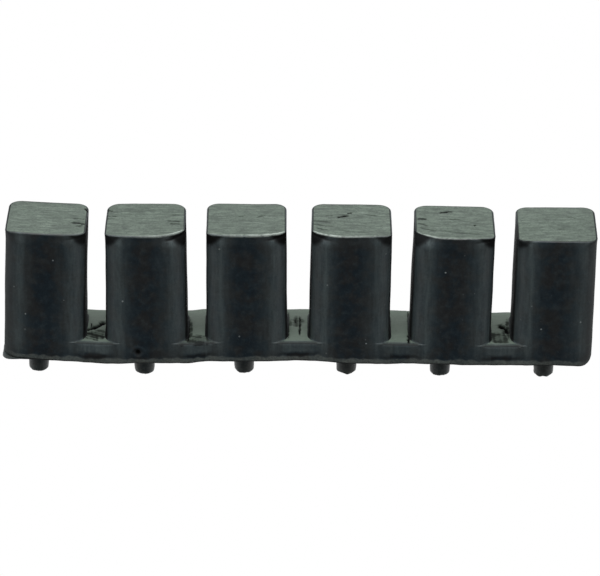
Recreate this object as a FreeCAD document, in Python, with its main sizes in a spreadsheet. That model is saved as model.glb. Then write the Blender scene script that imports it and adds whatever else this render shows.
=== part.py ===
"""A soft rubber comb damper: upright blocks on one thin strip, with short round studs under the strip.

Millimetres, +Z up. +X runs along the strip and +Y runs from its front face to its rear face.
The origin is the centre of the strip, level with the free ends of the studs.
The strip is made as one pad under each block and one flexing web across each slot between two blocks.
"""

import FreeCAD, Part
import math
import os

import Sketcher
from FreeCAD import Vector

SEGMENTS = 6

# The driving dimensions, in millimetres.
DIMENSIONS = {
    "pitch": 10.5,  # from one slot to the next, as the strings of a racket are spaced
    "block_width": 8.36,  # at the strip
    "top_width": 8.26,  # the sides draw in a little, so that the moulding leaves its tool
    "depth": 7.25,
    "block_rise": 12.45,  # from the top of the strip to the top of a block
    "strip_thickness": 2.45,
    "corner_radius": 1.76,  # the upright edges of the blocks and of the strip's two ends
    "lip_height": 1.4,  # where the front corners flare out below the trimmed top face
    "lip_radius": 0.8,  # the front corners of the top face itself
    "strip_chamfer": 0.25,  # along the lower edge of the strip
    "stud_radius": 1.0,
    "stud_length": 2.5,
    "stud_chamfer": 0.2,  # round the free end of a stud
}

# How far each stud stands from the middle of its block along +X: the moulding is not exact.
STUD_SHIFTS = (-0.7, -0.4, -0.3, -0.2, -0.8, -0.6)

# The signs of X and Y at the corners of an outline, anticlockwise from the front right.
CORNERS = ((1, -1), (1, 1), (-1, 1), (-1, -1))

CLOSE = 1e-6

document = FreeCAD.newDocument("comb_damper")


def fill_sheet():
    """The spreadsheet that holds the driving dimensions and each stud's shift."""
    rows = dict(DIMENSIONS)
    rows["web_width"] = round(DIMENSIONS["pitch"] - DIMENSIONS["block_width"], 4)
    for number, shift in enumerate(STUD_SHIFTS, start=1):
        rows[f"stud_shift_{number}"] = shift
    filled = document.addObject("Spreadsheet::Sheet", "dimensions")
    for row, (alias, value) in enumerate(rows.items(), start=1):
        filled.set(f"A{row}", alias.replace("_", " "))
        filled.set(f"B{row}", str(value))
        filled.setAlias(f"B{row}", alias)
    document.recompute()
    return filled


sheet = fill_sheet()


def size(alias):
    """The value of one cell of the sheet, in millimetres."""
    return float(sheet.get(alias))


def segment_x(number):
    """The expression for the middle of a segment along X. A half number is the slot between two."""
    return f"dimensions.pitch * {number - (SEGMENTS + 1) / 2}"


def new_body(node, x, z):
    """An empty body with its node's name as its label, placed by two expressions."""
    body = document.addObject("PartDesign::Body", node)
    body.Label = node
    body.setExpression("Placement.Base.x", x)
    body.setExpression("Placement.Base.z", z)
    return body


def level_sketch(body, name, height=None):
    """A sketch parallel to the body's own XY plane, at a height given as an expression."""
    planes = body.Origin.OriginFeatures
    sketch = body.newObject("Sketcher::SketchObject", name)
    sketch.AttachmentSupport = [next(plane for plane in planes if plane.Role == "XY_Plane")]
    sketch.MapMode = "FlatFace"
    if height is not None:
        sketch.setExpression("AttachmentOffset.Base.z", height)
    return sketch


def bind(sketch, kind, places, value, expression):
    """Add one dimension to a sketch and bind it to the sheet."""
    index = sketch.addConstraint(Sketcher.Constraint(kind, *places, value))
    sketch.setExpression(f"Constraints[{index}]", expression)


def draw_sides(sketch, width, radii):
    """The four straight sides of an outline about the origin, tied to the width and the depth.

    radii holds the corner radius of each corner. Side i runs from the corner before it to corner i.
    """
    half_x = size(width) / 2
    half_y = size("depth") / 2
    arrivals = []
    departures = []
    for turn, ((sx, sy), radius) in enumerate(zip(CORNERS, radii)):
        centre = Vector(sx * (half_x - radius), sy * (half_y - radius), 0)
        out = Vector(0, -1, 0) if turn % 2 == 0 else Vector(1, 0, 0)
        across = Vector(1, 0, 0) if turn % 2 == 0 else Vector(0, 1, 0)
        flip = 1 if turn < 2 else -1
        arrivals.append(centre + out * (flip * radius))
        departures.append(centre + across * (flip * radius))
    sides = [
        sketch.addGeometry(Part.LineSegment(departures[turn - 1], arrivals[turn]), False)
        for turn in range(len(CORNERS))
    ]
    front, right, rear, left = sides
    for side in (front, rear):
        sketch.addConstraint(Sketcher.Constraint("Horizontal", side))
    for side in (right, left):
        sketch.addConstraint(Sketcher.Constraint("Vertical", side))
    origin = (-1, 1)
    bind(sketch, "DistanceX", (*origin, right, 1), half_x, f"dimensions.{width} / 2")
    bind(sketch, "DistanceX", (left, 1, *origin), half_x, f"dimensions.{width} / 2")
    bind(sketch, "DistanceY", (*origin, rear, 1), half_y, "dimensions.depth / 2")
    bind(sketch, "DistanceY", (front, 1, *origin), half_y, "dimensions.depth / 2")
    return sides


def draw_square_outline(sketch, width):
    """A rectangle about the origin, as wide as an alias says and as deep as the strip."""
    sides = draw_sides(sketch, width, [0.0] * len(CORNERS))
    for turn, side in enumerate(sides):
        sketch.addConstraint(Sketcher.Constraint("Coincident", sides[turn - 1], 2, side, 1))


def draw_rounded_outline(sketch, width, front_radius, rear_radius):
    """A rectangle about the origin whose front and rear corners have radii given as aliases."""
    aliases = [front_radius if sy < 0 else rear_radius for _, sy in CORNERS]
    radii = [size(alias) for alias in aliases]
    sides = draw_sides(sketch, width, radii)
    arcs = []
    for turn, ((sx, sy), radius) in enumerate(zip(CORNERS, radii)):
        centre = Vector(sx * (size(width) / 2 - radius), sy * (size("depth") / 2 - radius), 0)
        circle = Part.Circle(centre, Vector(0, 0, 1), radius)
        start = math.pi / 2 * (turn - 1)
        arc = sketch.addGeometry(Part.ArcOfCircle(circle, start, start + math.pi / 2), False)
        sketch.addConstraint(Sketcher.Constraint("Tangent", sides[turn], 2, arc, 1))
        sketch.addConstraint(Sketcher.Constraint("Tangent", arc, 2, sides[(turn + 1) % 4], 1))
        arcs.append(arc)
    front_right, rear_right, rear_left, front_left = arcs
    bind(sketch, "Radius", (front_right,), radii[0], f"dimensions.{front_radius}")
    bind(sketch, "Radius", (rear_right,), radii[1], f"dimensions.{rear_radius}")
    sketch.addConstraint(Sketcher.Constraint("Equal", front_right, front_left))
    sketch.addConstraint(Sketcher.Constraint("Equal", rear_right, rear_left))


def pad_up(body, sketch, height):
    """A straight pad from a sketch, as high as an alias says."""
    document.recompute()
    pad = body.newObject("PartDesign::Pad", f"{body.Label}_pad")
    pad.Profile = sketch
    pad.setExpression("Length", f"dimensions.{height}")
    document.recompute()
    return pad


def dress(body, kind, base, edges, quantity, alias):
    """A fillet or a chamfer on the named edges of a body's latest feature."""
    feature = body.newObject(f"PartDesign::{kind}", f"{body.Label}_{kind.lower()}")
    feature.Base = (base, edges)
    feature.setExpression(quantity, f"dimensions.{alias}")
    document.recompute()
    return feature


def edges_where(feature, test):
    """The names of a feature's edges whose boxes pass a test."""
    numbered = enumerate(feature.Shape.Edges, start=1)
    return [f"Edge{number}" for number, edge in numbered if test(edge.BoundBox)]


def make_block(number):
    """One upright block: rounded upright edges, a slight draw, and front corners that flare to the trimmed top."""
    node = f"block_{number}"
    body = new_body(node, segment_x(number), "dimensions.stud_length + dimensions.strip_thickness")
    foot = level_sketch(body, f"{node}_foot")
    draw_rounded_outline(foot, "block_width", "corner_radius", "corner_radius")
    neck = level_sketch(body, f"{node}_neck", "dimensions.block_rise - dimensions.lip_height")
    draw_rounded_outline(neck, "top_width", "corner_radius", "corner_radius")
    lip = level_sketch(body, f"{node}_lip", "dimensions.block_rise")
    draw_rounded_outline(lip, "top_width", "lip_radius", "corner_radius")
    document.recompute()
    loft = body.newObject("PartDesign::AdditiveLoft", f"{node}_loft")
    loft.Profile = foot
    loft.Sections = [neck, lip]
    loft.Ruled = True
    return body


def make_strip_piece(node, width, x, closed_end=0):
    """One length of the strip. closed_end is -1 or 1 where the strip ends on that side, and 0 in its run."""
    body = new_body(node, x, "dimensions.stud_length")
    outline = level_sketch(body, f"{node}_outline")
    draw_square_outline(outline, width)
    latest = pad_up(body, outline, "strip_thickness")
    end_x = closed_end * size(width) / 2

    def is_end_corner(box):
        return box.ZLength > CLOSE and abs(box.XMin - end_x) < CLOSE

    def is_lower_rim(box):
        meets_next_piece = box.XLength < CLOSE and abs(box.XMin - end_x) > CLOSE
        return box.ZMax < CLOSE and not meets_next_piece

    if closed_end:
        corners = edges_where(latest, is_end_corner)
        latest = dress(body, "Fillet", latest, corners, "Radius", "corner_radius")
    dress(body, "Chamfer", latest, edges_where(latest, is_lower_rim), "Size", "strip_chamfer")
    return body


def make_base_pad(number):
    """The length of the strip under one block."""
    closed_end = {1: -1, SEGMENTS: 1}.get(number, 0)
    return make_strip_piece(f"base_pad_{number}", "block_width", segment_x(number), closed_end)


def make_web(number):
    """The thin web across one slot, which flexes when the strip is bent."""
    return make_strip_piece(f"web_hinge_{number}", "web_width", segment_x(number + 0.5))


def make_stud(number):
    """One round stud under the strip."""
    node = f"stud_{number}"
    body = new_body(node, f"{segment_x(number)} + dimensions.stud_shift_{number}", "0 mm")
    outline = level_sketch(body, f"{node}_outline")
    circle = outline.addGeometry(Part.Circle(Vector(), Vector(0, 0, 1), size("stud_radius")), False)
    outline.addConstraint(Sketcher.Constraint("Coincident", circle, 3, -1, 1))
    bind(outline, "Radius", (circle,), size("stud_radius"), "dimensions.stud_radius")
    pad = pad_up(body, outline, "stud_length")
    free_end = edges_where(pad, lambda box: box.ZMax < CLOSE)
    dress(body, "Chamfer", pad, free_end, "Size", "stud_chamfer")
    return body


def make_everything():
    """Every sub-part, segment by segment along the strip."""
    made = []
    for number in range(1, SEGMENTS + 1):
        made.append(make_block(number))
        made.append(make_base_pad(number))
        made.append(make_stud(number))
        if number < SEGMENTS:
            made.append(make_web(number))
    document.recompute()
    return made


def check(made):
    """Stop if anything in the document failed, or if a sub-part isn't one sound solid."""
    for item in document.Objects:
        bad = {"Invalid", "Error"} & set(item.State)
        if bad:
            raise RuntimeError(f"{item.Name} is {sorted(bad)}")
    for part in made:
        shape = part.Shape
        if shape.isNull() or not shape.isValid() or len(shape.Solids) != 1:
            raise RuntimeError(f"{part.Label} isn't one valid solid")


def write(made):
    """One STEP file for each sub-part, named after its label."""
    os.makedirs("parts", exist_ok=True)
    for part in made:
        part.Shape.exportStep(f"parts/{part.Label}.step")
        box = part.Shape.BoundBox
        print(f"{part.Label}: {part.Shape.Volume:.2f} mm3, z {box.ZMin:.2f} to {box.ZMax:.2f}")


def block_gap_at(opening_deg):
    """The gap between two neighbouring tops when their web bends by an angle, in millimetres."""
    half = math.radians(opening_deg) / 2
    side_x = (size("pitch") - size("top_width")) / 2
    above_web = size("block_rise") + size("strip_thickness") / 2
    return 2 * (side_x * math.cos(half) + above_web * math.sin(half))


parts = make_everything()
check(parts)
write(parts)
print(f"gap between two tops: {block_gap_at(0):.2f} mm at rest, {block_gap_at(-8):.2f} mm at -8 degrees")
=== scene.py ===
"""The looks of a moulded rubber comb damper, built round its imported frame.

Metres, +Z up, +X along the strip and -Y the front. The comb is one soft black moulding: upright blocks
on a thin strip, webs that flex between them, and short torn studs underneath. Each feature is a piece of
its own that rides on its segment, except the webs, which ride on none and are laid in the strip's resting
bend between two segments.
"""

import logging
import math
from dataclasses import dataclass, field
from enum import Enum
from typing import Any, Iterable, Sequence

import bpy
import numpy as np
from mathutils import Euler, Matrix, Vector


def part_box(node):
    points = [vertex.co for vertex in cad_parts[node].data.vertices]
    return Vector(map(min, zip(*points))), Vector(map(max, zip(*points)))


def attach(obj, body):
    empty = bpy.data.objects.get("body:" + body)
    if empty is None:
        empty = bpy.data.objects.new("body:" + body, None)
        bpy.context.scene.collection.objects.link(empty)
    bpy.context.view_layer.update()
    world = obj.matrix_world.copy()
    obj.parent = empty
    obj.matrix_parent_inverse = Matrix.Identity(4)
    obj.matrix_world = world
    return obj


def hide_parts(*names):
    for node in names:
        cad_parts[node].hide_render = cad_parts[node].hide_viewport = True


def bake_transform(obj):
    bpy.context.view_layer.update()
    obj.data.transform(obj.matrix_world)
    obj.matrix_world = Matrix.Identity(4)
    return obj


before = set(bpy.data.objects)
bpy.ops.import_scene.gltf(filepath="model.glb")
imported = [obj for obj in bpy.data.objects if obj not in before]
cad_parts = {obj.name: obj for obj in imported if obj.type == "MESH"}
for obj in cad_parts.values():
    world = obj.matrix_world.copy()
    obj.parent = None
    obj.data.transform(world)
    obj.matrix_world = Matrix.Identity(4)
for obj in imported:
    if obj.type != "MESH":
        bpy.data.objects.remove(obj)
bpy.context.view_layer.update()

MM = 0.001
LOG = logging.getLogger("comb")


class Side(Enum):
    """Which way a feature faces along the strip."""

    LEFT = -1
    RIGHT = 1


# ---------------------------------------------------------------- the frame's sizes


@dataclass(frozen=True)
class Segment:
    """One block with its length of strip and its stud, as the frame places them."""

    number: int
    block: tuple[Vector, Vector]
    pad: tuple[Vector, Vector]
    stud: tuple[Vector, Vector]

    @property
    def body(self) -> str:
        """The frame's body that this segment's pieces ride on."""
        return f"segment_{self.number}"


@dataclass(frozen=True)
class Comb:
    """The sizes of the whole comb, read from the frame."""

    segments: tuple[Segment, ...]
    webs: tuple[tuple[Vector, Vector], ...]

    @classmethod
    def read(cls) -> "Comb":
        """Read every segment and web from the frame's boxes.

        Returns:
            The comb.
        """
        count = sum(name.startswith("block_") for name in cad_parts)
        segments = tuple(
            Segment(n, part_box(f"block_{n}"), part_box(f"base_pad_{n}"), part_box(f"stud_{n}"))
            for n in range(1, count + 1)
        )
        return cls(segments, tuple(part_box(f"web_hinge_{n}") for n in range(1, count)))

    @property
    def strip_low(self) -> float:
        """The height of the strip's underside."""
        return self.segments[0].pad[0].z

    @property
    def strip_high(self) -> float:
        """The height of the strip's upper face."""
        return self.segments[0].pad[1].z

    @property
    def top(self) -> float:
        """The height of the block tops."""
        return self.segments[0].block[1].z

    @property
    def half_depth(self) -> float:
        """Half of the strip's depth along Y."""
        return self.segments[0].pad[1].y

    @property
    def ends(self) -> tuple[float, float]:
        """Where the strip starts and ends along X."""
        return self.segments[0].pad[0].x, self.segments[-1].pad[1].x

    @property
    def web_middles(self) -> tuple[float, ...]:
        """Where the middle of each web is along X."""
        return tuple((low.x + high.x) / 2 for low, high in self.webs)

    def from_end(self, x: np.ndarray) -> np.ndarray:
        """How far some places along X are from the nearer end of the strip."""
        first, last = self.ends
        return np.minimum(x - first, last - x)


# ---------------------------------------------------------------- meshes from loops


@dataclass(frozen=True)
class LoopGrid:
    """How the points of a four-sided loop are shared out: along its two long and two short sides."""

    corner_steps: int
    long_steps: int
    short_steps: int

    @property
    def across(self) -> int:
        """Steps along one long side, from the middle of one corner to the next."""
        return self.long_steps + 2 * self.corner_steps

    @property
    def along(self) -> int:
        """Steps along one short side."""
        return self.short_steps + 2 * self.corner_steps

    @property
    def points(self) -> int:
        """Points in the whole loop."""
        return 2 * (self.across + self.along)

    def rounded(self, half_u: float, half_v: float, radii: Sequence[float]) -> np.ndarray:
        """A rounded rectangle about the origin, anticlockwise from the middle of its lower left corner.

        Args:
            half_u: Half of its size along the long sides.
            half_v: Half of its size along the short sides.
            radii: The radius of the lower left, lower right, upper right and upper left corners.

        Returns:
            The points, one row each.
        """
        signs = ((-1, -1), (1, -1), (1, 1), (-1, 1))
        steps = (self.long_steps, self.short_steps, self.long_steps, self.short_steps)
        quarter = math.pi / 2
        points: list[np.ndarray] = []
        for side in range(4):
            after = (side + 1) % 4
            leave = self._arc(half_u, half_v, signs[side], radii[side], (side - 1.5) * quarter)
            arrive = self._arc(half_u, half_v, signs[after], radii[after], (side - 1) * quarter)
            share = np.linspace(0, 1, steps[side] + 1)[1:-1, None]
            points += [leave, leave[-1] * (1 - share) + arrive[0] * share, arrive[:-1]]
        return np.vstack(points)

    def _arc(
        self, half_u: float, half_v: float, sign: tuple[int, int], radius: float, start: float
    ) -> np.ndarray:
        """Half of one rounded corner, as an eighth of a circle from a start angle.

        Args:
            half_u: Half of the rectangle's size along its long sides.
            half_v: Half of its size along its short sides.
            sign: Which corner it is.
            radius: The corner's radius.
            start: The angle that the arc starts at, in radians.

        Returns:
            The points, one row each.
        """
        angle = start + np.linspace(0, math.pi / 4, self.corner_steps + 1)
        centre = np.array([sign[0] * (half_u - radius), sign[1] * (half_v - radius)])
        return centre + radius * np.column_stack((np.cos(angle), np.sin(angle)))


@dataclass
class LoopSolid:
    """A closed solid from a stack of matching loops, with a grid of quads over each end."""

    grid: LoopGrid
    loops: list[np.ndarray] = field(default_factory=list)

    def _cap(self, loop: np.ndarray) -> np.ndarray:
        """The inner points of a grid over one loop, blended from its four sides.

        Args:
            loop: The points of the end loop.

        Returns:
            The points, one row each.
        """
        nu, nv = self.grid.across, self.grid.along
        near = loop[: nu + 1]
        right = loop[nu : nu + nv + 1]
        far = loop[nu + nv : 2 * nu + nv + 1][::-1]
        left = np.vstack((loop[2 * nu + nv :], loop[:1]))[::-1]
        u = np.linspace(0, 1, nu + 1)[:, None, None]
        v = np.linspace(0, 1, nv + 1)[None, :, None]
        sides = (1 - v) * near[:, None] + v * far[:, None] + (1 - u) * left[None] + u * right[None]
        corners = (
            (1 - u) * (1 - v) * near[0]
            + u * (1 - v) * near[-1]
            + u * v * far[-1]
            + (1 - u) * v * far[0]
        )
        return (sides - corners)[1:-1, 1:-1].reshape(-1, 3)

    def _cap_faces(self, loop_start: int, inner_start: int) -> np.ndarray:
        """The quads of a cap, anticlockwise as its loop runs.

        Args:
            loop_start: The number of the loop's first point.
            inner_start: The number of the cap's first inner point.

        Returns:
            The quads, one row each.
        """
        nu, nv = self.grid.across, self.grid.along
        index = np.zeros((nu + 1, nv + 1), int)
        ring = loop_start + np.arange(self.grid.points)
        index[:, 0] = ring[: nu + 1]
        index[nu, :] = ring[nu : nu + nv + 1]
        index[:, nv] = ring[nu + nv : 2 * nu + nv + 1][::-1]
        index[0, 1:nv] = ring[2 * nu + nv + 1 :][::-1]
        index[1:nu, 1:nv] = inner_start + np.arange((nu - 1) * (nv - 1)).reshape(nu - 1, nv - 1)
        quads = (index[:-1, :-1], index[1:, :-1], index[1:, 1:], index[:-1, 1:])
        return np.stack(quads, axis=-1).reshape(-1, 4)

    def build(self) -> tuple[np.ndarray, np.ndarray]:
        """The solid's points and outward quads.

        Returns:
            The points and the quads, one row each.
        """
        count = self.grid.points
        stack = np.vstack(self.loops)
        first, last = self._cap(self.loops[0]), self._cap(self.loops[-1])
        here = np.arange(count)
        after = (here + 1) % count
        sides = [
            np.column_stack((here, after, after + count, here + count)) + level * count
            for level in range(len(self.loops) - 1)
        ]
        faces = [
            *sides,
            self._cap_faces(0, len(stack))[:, ::-1],
            self._cap_faces(len(stack) - count, len(stack) + len(first)),
        ]
        return np.vstack((stack, first, last)), np.vstack(faces)


def smooth_step(low: float, high: float, value: np.ndarray) -> np.ndarray:
    """A soft step from 0 at low to 1 at high."""
    share = np.clip((value - low) / (high - low), 0, 1)
    return share * share * (3 - 2 * share)


def hump(value: np.ndarray, width: float) -> np.ndarray:
    """A soft hump, 1 at nought and nearly gone at twice its width."""
    return np.exp(-((value / width) ** 2))


def corner_inset(room: np.ndarray, radius: float) -> np.ndarray:
    """How far a round corner is drawn in, at some distances from its end, up to its radius."""
    return radius - np.sqrt(radius**2 - (radius - np.clip(room, 0, radius)) ** 2)


def add_object(name: str, data: Any) -> bpy.types.Object:
    """Put a new object in the scene at the origin.

    Args:
        name: The object's name.
        data: Its mesh, light or camera.

    Returns:
        The object.
    """
    made = bpy.data.objects.new(name, data)
    bpy.context.scene.collection.objects.link(made)
    return made


# ---------------------------------------------------------------- marks and the way the strip lies


@dataclass(frozen=True)
class Ragged:
    """A ragged line: how far it strays at each place along it, as a sum of waves of many lengths."""

    seed: int
    size: float
    shortest: float
    longest: float
    waves: int = 9
    swell: float = 1.8

    def at(self, place: np.ndarray) -> np.ndarray:
        """How far the line strays at some places, from about minus to plus its size.

        Args:
            place: The places along the line.

        Returns:
            How far it strays at each of them.
        """
        random = np.random.default_rng(self.seed)
        lengths = self.shortest * (self.longest / self.shortest) ** random.random(self.waves)
        phases = random.random(self.waves) * math.tau
        heights = np.sqrt(lengths / self.longest)
        angles = place[..., None] * math.tau / lengths + phases
        return self.size * (np.sin(angles) * heights).sum(-1) / heights.sum() * self.swell


@dataclass(frozen=True)
class Hollow:
    """A small round hollow pressed into a face, with a raised ring round it and painted shade in its bowl.
    """

    centre: tuple[float, float, float]
    radius: float
    depth: float
    inward: tuple[float, float, float]
    ring_radius: float = 1.7
    ring_height: float = 0.35
    shade: float = 1.4

    def press(self, points: np.ndarray) -> tuple[np.ndarray, np.ndarray]:
        """Press the hollow into some points.

        Args:
            points: The points, one row each.

        Returns:
            The moved points and how dark the painted shade in the bowl is at each one.
        """
        far = np.linalg.norm((points - np.array(self.centre)) / self.radius, axis=1)
        bowl = np.exp(-(far**2) * 2)
        ring = np.exp(-((far - self.ring_radius) ** 2) * 4) * self.ring_height
        moved = points + ((bowl - ring) * self.depth)[:, None] * np.array(self.inward)
        return moved, np.clip(bowl * self.shade, 0, 1)


@dataclass(frozen=True)
class Gouge:
    """A cut in a face that points up: a ragged valley along a bowed line between two points, darkened for
    the mark itself and for painted shade in the valley.
    """

    start: tuple[float, float]
    end: tuple[float, float]
    bow: float
    width: float
    depth: float
    lowest: float
    shade: float = 1.0
    fade_in: tuple[float, float] = (-0.08, 0.12)
    fade_out: tuple[float, float] = (0.85, 1.08)
    contrast: float = 1.2

    @classmethod
    def from_mm(cls, row: Sequence[Any], lowest: float) -> "Gouge":
        """Read a row of start, end, bow, width and depth in millimetres, and how dark it is."""
        start, end, bow, width, depth, shade = row
        return cls(scaled(start), scaled(end), bow * MM, width * MM, depth * MM, lowest, shade)

    def press(self, points: np.ndarray) -> tuple[np.ndarray, np.ndarray]:
        """Cut the gouge into some points.

        Args:
            points: The points, one row each.

        Returns:
            The moved points and how dark each one is, for the mark and the painted shade in it.
        """
        start, end = np.array(self.start), np.array(self.end)
        run = end - start
        length = float(np.linalg.norm(run))
        along = run / length
        side = np.array([-along[1], along[0]])
        relative = points[:, :2] - start
        share = relative @ along / length
        off = relative @ side - self.bow * 4 * share * (1 - share)
        ends = smooth_step(*self.fade_in, share) * (1 - smooth_step(*self.fade_out, share))
        seed = int(abs(self.start[0]) * 1e6)
        width = self.width * (1 + Ragged(seed, 0.45, 0.25 * MM, 1.6 * MM).at(share * length))
        off = off + Ragged(seed + 1, 0.35 * self.width, 0.3 * MM, 1.5 * MM).at(share * length)
        strength = np.exp(-((off / width) ** 2)) * ends * (points[:, 2] > self.lowest)
        moved = points.copy()
        moved[:, 2] -= strength * self.depth
        return moved, np.clip(strength * self.contrast * self.shade, 0, 1)


@dataclass(frozen=True)
class Scuff:
    """A rough, darkened patch on a face that points up."""

    centre: tuple[float, float]
    size: tuple[float, float]
    strength: float
    seed: int
    lowest: float
    depth: float = 0.06 * MM
    lines: int = 5
    line_turn: float = 1.1
    edge: tuple[float, float] = (0.55, 1.15)
    edge_stray: float = 0.25
    least_grain: float = 0.45

    @classmethod
    def from_mm(cls, row: Sequence[Any], lowest: float) -> "Scuff":
        """Read a row of middle and size in millimetres, how dark it is, and its seed."""
        centre, size, strength, seed = row
        return cls(scaled(centre), scaled(size), strength, seed, lowest)

    def press(self, points: np.ndarray) -> tuple[np.ndarray, np.ndarray]:
        """Roughen some points.

        Args:
            points: The points, one row each.

        Returns:
            The moved points and how strongly each one is marked.
        """
        x, y = ((points[:, :2] - np.array(self.centre)) / np.array(self.size)).T
        ragged = np.zeros(len(points))
        for line in range(self.lines):
            angle = line * self.line_turn
            along = points[:, 0] * math.cos(angle) + points[:, 1] * math.sin(angle)
            ragged = ragged + Ragged(self.seed + line, 0.5, 0.3 * MM, 1.8 * MM).at(along)
        patch = 1 - smooth_step(*self.edge, np.sqrt(x * x + y * y) - self.edge_stray * ragged)
        grain = self.least_grain + (1 - self.least_grain) * smooth_step(-0.6, 0.6, ragged)
        strength = self.strength * patch * grain * (points[:, 2] > self.lowest)
        moved = points.copy()
        moved[:, 2] -= strength * self.depth
        return moved, strength


def scaled(point: Sequence[float]) -> tuple[float, ...]:
    """A point in metres, from millimetres."""
    return tuple(value * MM for value in point)


@dataclass(frozen=True)
class RestingBend:
    """The slight set that the soft strip has taken: each web is bent a little as it stands."""

    web_middles: tuple[float, ...]
    half_web: float
    height: float
    opening_deg: tuple[float, ...]
    still_segment: int
    shifts: tuple[tuple[float, float], ...]

    def _shift(self, along: np.ndarray) -> np.ndarray:
        """How far points at some places along the strip sit off the straight, along X and Z.

        Args:
            along: The places along X.

        Returns:
            A row of X and Z for each place.
        """
        moved = np.tile(np.array(self.shifts[0]), (len(along), 1))
        for middle, before, after in zip(self.web_middles, self.shifts, self.shifts[1:]):
            weight = smooth_step(middle - self.half_web, middle + self.half_web, along)
            moved += weight[:, None] * (np.array(after) - np.array(before))
        return moved

    def lay(self, points: np.ndarray) -> np.ndarray:
        """Move points as the webs between them and the still segment are bent.

        Args:
            points: The straight moulding's points, one row each.

        Returns:
            The moved points.
        """
        moved = points.copy()
        webs = list(enumerate(self.web_middles, start=1))
        right = [w for w in webs if w[0] >= self.still_segment]
        left = [w for w in webs if w[0] < self.still_segment]
        for chain, way in ((right[::-1], Side.RIGHT), (left, Side.LEFT)):
            for number, middle in chain:
                past = (points[:, 0] - middle) * way.value
                weight = smooth_step(-self.half_web, self.half_web, past)
                angle = weight * math.radians(self.opening_deg[number - 1]) * way.value
                x, z = moved[:, 0] - middle, moved[:, 2] - self.height
                moved[:, 0] = middle + x * np.cos(angle) + z * np.sin(angle)
                moved[:, 2] = self.height - x * np.sin(angle) + z * np.cos(angle)
        moved[:, [0, 2]] += self._shift(points[:, 0])
        return moved


# ---------------------------------------------------------------- node trees


Colour = tuple[float, float, float]
MASKS = ("dust_and_top_light", "rim", "mark_and_shade", "torn", "painted_highlight")


def opaque(colour: Colour) -> tuple[float, float, float, float]:
    """A colour with full alpha."""
    return (*colour, 1.0)


class Value:
    """One output of a shader node, with the arithmetic that the finishes use."""

    def __init__(self, graph: "Graph", socket: bpy.types.NodeSocket) -> None:
        """Keep the socket and the tree that it belongs to."""
        self.graph = graph
        self.socket = socket

    def __add__(self, other: Any) -> "Value":
        """The sum of this and another value."""
        return self.graph.math("ADD", self, other)

    __radd__ = __add__

    def __mul__(self, other: Any) -> "Value":
        """The product of this and another value."""
        return self.graph.math("MULTIPLY", self, other)

    __rmul__ = __mul__

    def __sub__(self, other: Any) -> "Value":
        """This value less another."""
        return self.graph.math("SUBTRACT", self, other)

    def __rsub__(self, other: Any) -> "Value":
        """Another value less this one."""
        return self.graph.math("SUBTRACT", other, self)

    def also(self, output: str) -> "Value":
        """Another output of the node that made this value."""
        return Value(self.graph, self.graph.output_of(self.socket.node, output))

    def step(self, low: float, high: float) -> "Value":
        """A soft step of this value, from 0 at low to 1 at high.

        Args:
            low: Where the step starts.
            high: Where it ends, which may be below low.

        Returns:
            The step.
        """
        settings = {"interpolation_type": "SMOOTHSTEP"}
        inputs = {"Value": self, "From Min": low, "From Max": high}
        return self.graph.node("ShaderNodeMapRange", settings, inputs, "Result")


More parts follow.
